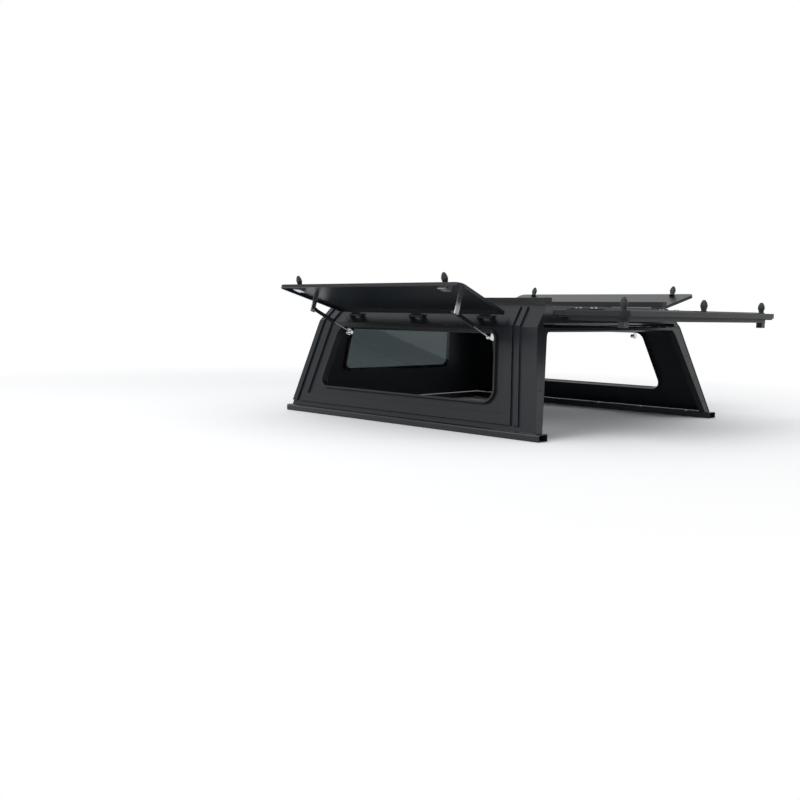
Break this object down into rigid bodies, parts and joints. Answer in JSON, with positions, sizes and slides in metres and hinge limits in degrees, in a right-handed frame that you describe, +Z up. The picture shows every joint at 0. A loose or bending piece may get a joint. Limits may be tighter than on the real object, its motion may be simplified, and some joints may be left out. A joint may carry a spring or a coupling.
{
  "type": "pickup truck canopy",
  "caption": "Steel canopy for a pickup bed, with lift-up side doors on gas struts, a lift-up rear door, T-handles, a front window and roof rails; all doors open.",
  "frame": {"origin": "middle of the front base rail's underside, where the canopy rests on the bed", "axes": "+X to the vehicle's right, +Y to its front, +Z up"},
  "size_m": [1.9582, 1.9731, 0.6809],
  "materials": {
    "body_steel": "satin black powder coat",
    "rail": "black anodised",
    "seal": "matte rubber",
    "glass": "dark tinted glass",
    "bright_steel": "bright ground rod",
    "strut_black": "gloss black",
    "handle": "black die-cast",
    "fittings": "zinc-plated latches"
  },
  "bodies": {
    "canopy": {"left_base_rail": "rail", "right_base_rail": "rail", "front_base_rail": "rail", "left_side_frame": "body_steel", "right_side_frame": "body_steel", "roof_panel": "body_steel", "front_panel": "body_steel", "front_window_seal": "seal", "front_window": "glass", "rear_left_pillar": "body_steel", "rear_right_pillar": "body_steel", "rear_header": "body_steel", "left_door_seal": "seal", "right_door_seal": "seal", "left_roof_rail": "rail", "right_roof_rail": "rail", "left_hinge_brackets": "body_steel", "right_hinge_brackets": "body_steel", "rear_hinge_brackets": "body_steel", "left_strut_studs": "bright_steel", "right_strut_studs": "bright_steel"},
    "left_door": {"left_door_panel": "body_steel", "left_door_hinge_arms": "body_steel", "left_door_fittings": "fittings"},
    "left_front_handle": {"left_front_handle": "handle"},
    "left_front_strut_tube": {"left_front_strut_tube": "strut_black"},
    "left_front_strut_rod": {"left_front_strut_rod": "bright_steel"},
    "left_rear_handle": {"left_rear_handle": "handle"},
    "left_rear_strut_tube": {"left_rear_strut_tube": "strut_black"},
    "left_rear_strut_rod": {"left_rear_strut_rod": "bright_steel"},
    "right_door": {"right_door_panel": "body_steel", "right_door_hinge_arms": "body_steel", "right_door_fittings": "fittings"},
    "right_front_handle": {"right_front_handle": "handle"},
    "right_front_strut_tube": {"right_front_strut_tube": "strut_black"},
    "right_front_strut_rod": {"right_front_strut_rod": "bright_steel"},
    "right_rear_handle": {"right_rear_handle": "handle"},
    "right_rear_strut_tube": {"right_rear_strut_tube": "strut_black"},
    "right_rear_strut_rod": {"right_rear_strut_rod": "bright_steel"},
    "rear_door": {"rear_door_frame": "body_steel", "rear_door_glass": "glass", "rear_door_hinge_arms": "body_steel"},
    "rear_door_handle": {"rear_door_handle": "handle"}
  },
  "joints": [
    {"name": "left_door_hinge", "type": "hinge", "parent": "canopy", "child": "left_door", "pos_m": [-0.59524, -0.78, 0.50569], "axis": [0, -1, 0], "range_deg": [0, 89]},
    {"name": "left_front_strut_swing", "type": "hinge", "parent": "canopy", "child": "left_front_strut_rod", "pos_m": [-0.60224, -0.28439, 0.41469], "axis": [0, -1, 0], "range_deg": [0, 108.18]},
    {"name": "left_front_strut_slide", "type": "slide", "parent": "left_front_strut_rod", "child": "left_front_strut_tube", "axis": [0.9042, 0, -0.427], "range_m": [0, 0.10872]},
    {"name": "left_front_handle_turn", "type": "hinge", "parent": "left_door", "child": "left_front_handle", "pos_m": [-0.9448, -0.28578, 0.6384], "axis": [0.2891, 0, 0.9573], "range_deg": [0, 90]},
    {"name": "left_rear_strut_swing", "type": "hinge", "parent": "canopy", "child": "left_rear_strut_rod", "pos_m": [-0.60224, -1.20256, 0.41469], "axis": [0, -1, 0], "range_deg": [0, 108.18]},
    {"name": "left_rear_strut_slide", "type": "slide", "parent": "left_rear_strut_rod", "child": "left_rear_strut_tube", "axis": [0.9042, 0, -0.427], "range_m": [0, 0.10872]},
    {"name": "left_rear_handle_turn", "type": "hinge", "parent": "left_door", "child": "left_rear_handle", "pos_m": [-0.9448, -1.23786, 0.6384], "axis": [0.2891, 0, 0.9573], "range_deg": [0, 90]},
    {"name": "right_door_hinge", "type": "hinge", "parent": "canopy", "child": "right_door", "pos_m": [0.59524, -0.78, 0.50569], "axis": [0, 1, 0], "range_deg": [0, 89]},
    {"name": "right_front_strut_swing", "type": "hinge", "parent": "canopy", "child": "right_front_strut_rod", "pos_m": [0.60224, -0.28439, 0.41469], "axis": [0, 1, 0], "range_deg": [0, 108.18]},
    {"name": "right_front_strut_slide", "type": "slide", "parent": "right_front_strut_rod", "child": "right_front_strut_tube", "axis": [-0.9042, 0, -0.427], "range_m": [0, 0.10872]},
    {"name": "right_front_handle_turn", "type": "hinge", "parent": "right_door", "child": "right_front_handle", "pos_m": [0.9448, -0.28578, 0.6384], "axis": [-0.2891, 0, 0.9573], "range_deg": [0, 90]},
    {"name": "right_rear_strut_swing", "type": "hinge", "parent": "canopy", "child": "right_rear_strut_rod", "pos_m": [0.60224, -1.20256, 0.41469], "axis": [0, 1, 0], "range_deg": [0, 108.18]},
    {"name": "right_rear_strut_slide", "type": "slide", "parent": "right_rear_strut_rod", "child": "right_rear_strut_tube", "axis": [-0.9042, 0, -0.427], "range_m": [0, 0.10872]},
    {"name": "right_rear_handle_turn", "type": "hinge", "parent": "right_door", "child": "right_rear_handle", "pos_m": [0.9448, -1.23786, 0.6384], "axis": [-0.2891, 0, 0.9573], "range_deg": [0, 90]},
    {"name": "rear_door_hinge", "type": "hinge", "parent": "canopy", "child": "rear_door", "pos_m": [0, -1.47313, 0.512], "axis": [1, 0, 0], "range_deg": [0, 75.6]},
    {"name": "rear_door_handle_turn", "type": "hinge", "parent": "rear_door", "child": "rear_door_handle", "pos_m": [0, -1.91213, 0.542], "axis": [0, 0, 1], "range_deg": [0, 90]}
  ],
  "couplings": [
    {"joint": "left_front_strut_swing", "follows": "left_door_hinge", "ratio": 1.2143},
    {"joint": "left_front_strut_slide", "follows": "left_door_hinge", "m_per_rad": 0.069922},
    {"joint": "left_rear_strut_swing", "follows": "left_door_hinge", "ratio": 1.2143},
    {"joint": "left_rear_strut_slide", "follows": "left_door_hinge", "m_per_rad": 0.069922},
    {"joint": "right_front_strut_swing", "follows": "right_door_hinge", "ratio": 1.2143},
    {"joint": "right_front_strut_slide", "follows": "right_door_hinge", "m_per_rad": 0.069922},
    {"joint": "right_rear_strut_swing", "follows": "right_door_hinge", "ratio": 1.2143},
    {"joint": "right_rear_strut_slide", "follows": "right_door_hinge", "m_per_rad": 0.069922}
  ]
}
